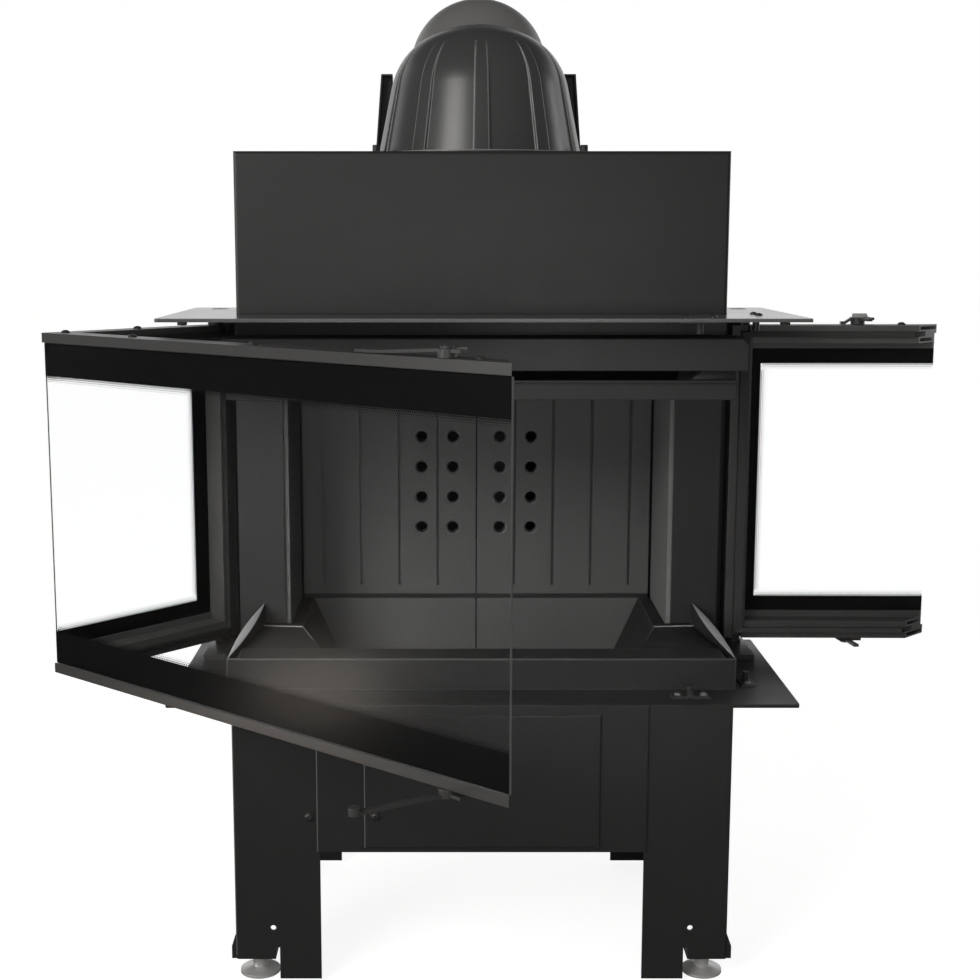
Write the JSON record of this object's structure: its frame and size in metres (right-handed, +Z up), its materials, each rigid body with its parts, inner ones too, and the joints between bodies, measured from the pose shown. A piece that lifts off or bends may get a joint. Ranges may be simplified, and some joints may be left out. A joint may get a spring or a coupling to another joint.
{
  "type": "three-sided fireplace insert",
  "caption": "Black steel wood-burning fireplace insert with an L-shaped front and side glass door, a side glass door, latch levers, ribbed dome and turning flue outlet on legs.",
  "frame": {"origin": "on the floor under the middle of the plates' front edge", "axes": "+X to the right seen from the front, +Y to the back, +Z up"},
  "size_m": [1.3525, 1.0619, 1.442],
  "materials": {
    "body_paint": "matt heat-proof paint",
    "door_paint": "satin graphite paint",
    "cast": "painted casting",
    "brick": "dark fire brick",
    "glass": "clear with black print",
    "rope": "black glass rope",
    "zinc": "zinc plated",
    "bare_steel": "dark steel"
  },
  "bodies": {
    "body": {"air_box": "body_paint", "air_duct": "body_paint", "air_inlet": "body_paint", "air_wash": "body_paint", "apron": "body_paint", "apron_cover": "body_paint", "baffle": "brick", "bottom_plate": "body_paint", "dome_bell": "cast", "firebox_shell": "body_paint", "front_keepers": "bare_steel", "front_left_leg": "body_paint", "front_right_leg": "body_paint", "front_slope": "brick", "hearth_floor": "brick", "hearth_slopes": "brick", "hearth_trough": "body_paint", "left_bracket": "body_paint", "left_brick": "brick", "left_hinges": "bare_steel", "left_post": "body_paint", "left_rear_plate": "brick", "log_retainer": "body_paint", "lower_rear_bricks": "brick", "neck": "body_paint", "rear_ledge": "body_paint", "rear_left_leg": "body_paint", "rear_right_leg": "body_paint", "right_bracket": "body_paint", "right_brick": "brick", "right_hinges": "bare_steel", "right_post": "body_paint", "right_rear_plate": "brick", "side_keepers": "bare_steel", "side_retainers": "body_paint", "smoke_box": "body_paint", "top_frame": "body_paint", "top_plate": "body_paint"},
    "left_door": {"left_bottom_rail": "door_paint", "left_front_glass": "glass", "left_seal": "rope", "left_side_glass": "glass", "left_stile": "door_paint", "left_top_rail": "door_paint"},
    "right_door": {"right_bottom_rail": "door_paint", "right_seal": "rope", "right_side_glass": "glass", "right_stile": "door_paint", "right_top_rail": "door_paint"},
    "left_top_lever": {"left_top_lever": "door_paint"},
    "left_bottom_lever": {"left_bottom_lever": "door_paint"},
    "right_top_lever": {"right_top_lever": "door_paint"},
    "right_bottom_lever": {"right_bottom_lever": "door_paint"},
    "front_left_foot": {"front_left_foot": "zinc"},
    "front_right_foot": {"front_right_foot": "zinc"},
    "rear_left_foot": {"rear_left_foot": "zinc"},
    "rear_right_foot": {"rear_right_foot": "zinc"},
    "flue_head": {"flue_head": "cast"},
    "air_damper": {"air_damper": "bare_steel"}
  },
  "joints": [
    {"name": "left_door_swing", "type": "hinge", "parent": "body", "child": "left_door", "pos_m": [-0.413, 0.329, 0.683], "axis": [0, 0, -1], "range_deg": [-40.9, 54.1]},
    {"name": "right_door_swing", "type": "hinge", "parent": "body", "child": "right_door", "pos_m": [0.413, 0.329, 0.683], "axis": [0, 0, 1], "range_deg": [-89.3, 10.7]},
    {"name": "flue_head_turn", "type": "hinge", "parent": "body", "child": "flue_head", "pos_m": [0, 0.4143, 1.3093], "axis": [0, 0.7071, 0.7071], "range_deg": [-60, 60]},
    {"name": "air_damper_turn", "type": "hinge", "parent": "body", "child": "air_damper", "pos_m": [0, 0.394, 0.268], "axis": [1, 0, 0], "range_deg": [0, 90]},
    {"name": "left_top_lever_turn", "type": "hinge", "parent": "left_door", "child": "left_top_lever", "pos_m": [-0.04979, -0.3865, 0.9385], "axis": [0, 0, 1], "range_deg": [0, 41]},
    {"name": "left_bottom_lever_turn", "type": "hinge", "parent": "left_door", "child": "left_bottom_lever", "pos_m": [-0.04979, -0.3865, 0.4275], "axis": [0, 0, 1], "range_deg": [0, 41]},
    {"name": "right_top_lever_turn", "type": "hinge", "parent": "right_door", "child": "right_top_lever", "pos_m": [0.5961, 0.33576, 0.9385], "axis": [0, 0, 1], "range_deg": [0, 22.8]},
    {"name": "right_bottom_lever_turn", "type": "hinge", "parent": "right_door", "child": "right_bottom_lever", "pos_m": [0.5961, 0.33576, 0.4275], "axis": [0, 0, 1], "range_deg": [0, 22.8]},
    {"name": "front_left_foot_turn", "type": "hinge", "parent": "body", "child": "front_left_foot", "pos_m": [-0.325, 0.033, 0.037], "axis": [0, 0, 1], "continuous": true},
    {"name": "front_right_foot_turn", "type": "hinge", "parent": "body", "child": "front_right_foot", "pos_m": [0.325, 0.033, 0.037], "axis": [0, 0, 1], "continuous": true},
    {"name": "rear_left_foot_turn", "type": "hinge", "parent": "body", "child": "rear_left_foot", "pos_m": [-0.325, 0.402, 0.037], "axis": [0, 0, 1], "continuous": true},
    {"name": "rear_right_foot_turn", "type": "hinge", "parent": "body", "child": "rear_right_foot", "pos_m": [0.325, 0.402, 0.037], "axis": [0, 0, 1], "continuous": true}
  ]
}
